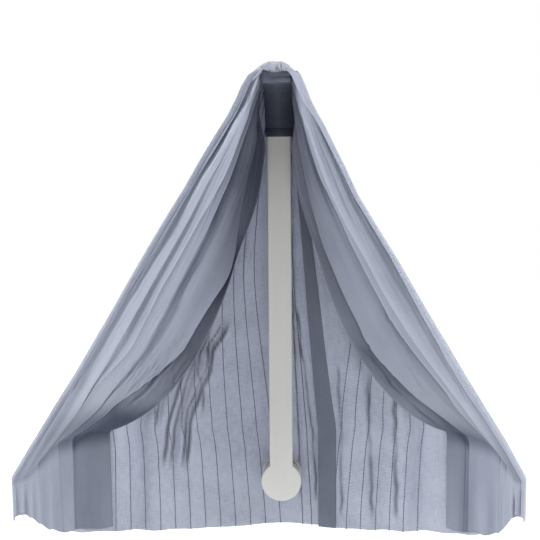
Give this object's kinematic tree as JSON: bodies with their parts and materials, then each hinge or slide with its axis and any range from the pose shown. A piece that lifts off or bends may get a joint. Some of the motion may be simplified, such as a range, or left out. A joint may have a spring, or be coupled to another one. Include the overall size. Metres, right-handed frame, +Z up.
{
  "type": "bed crown canopy",
  "caption": "Bed canopy on a bent wooden mast: a round foot clamps to the bed's upright slats and gathered, pintucked cotton falls from the arm over the rails.",
  "frame": {"origin": "centre of the mast's round foot, on the plane where the clamp's front pad meets the front faces of the bed's slats", "axes": "+Z up along the mast, +Y out of the bed's head end (from the bed towards the outside), -Y over the bed, +X to the right as seen from the bed"},
  "size_m": [0.7883, 0.3033, 0.8211],
  "materials": {
    "white_paint": "satin white paint on wood",
    "felt": "pressed felt",
    "steel": "zinc plated",
    "brass": "plain",
    "cotton": "dusty blue cotton, pintucked",
    "cotton_band": "dusty blue cotton, plain and doubled"
  },
  "bodies": {
    "mast": {"mast": "white_paint", "foot_spacer": "white_paint", "front_pad": "felt", "upper_insert": "brass", "lower_insert": "brass", "arm_sleeve": "cotton_band", "crown_gather": "cotton", "left_front_drape": "cotton", "right_front_drape": "cotton", "left_facing": "cotton_band", "right_facing": "cotton_band", "left_side_panel": "cotton", "right_side_panel": "cotton", "left_back_panel": "cotton", "right_back_panel": "cotton", "back_edge_band": "cotton_band"},
    "rear_clamp": {"rear_clamp_disc": "white_paint", "rear_pad": "felt", "upper_washer": "steel", "lower_washer": "steel"},
    "upper_bolt": {"upper_bolt": "steel"},
    "lower_bolt": {"lower_bolt": "steel"}
  },
  "joints": [
    {"name": "rear_clamp_slide", "type": "slide", "parent": "mast", "child": "rear_clamp", "axis": [0, 1, 0], "range_m": [0, 0.0075]},
    {"name": "upper_bolt_turn", "type": "hinge", "parent": "rear_clamp", "child": "upper_bolt", "pos_m": [0, 0.0295, 0.018], "axis": [0, 1, 0], "range_deg": [0, 2700]},
    {"name": "lower_bolt_turn", "type": "hinge", "parent": "rear_clamp", "child": "lower_bolt", "pos_m": [0, 0.0295, -0.018], "axis": [0, 1, 0], "range_deg": [0, 2700]}
  ],
  "couplings": [
    {"joint": "upper_bolt_turn", "follows": "rear_clamp_slide", "rad_per_m": 6283.2},
    {"joint": "lower_bolt_turn", "follows": "rear_clamp_slide", "rad_per_m": 6283.2}
  ]
}
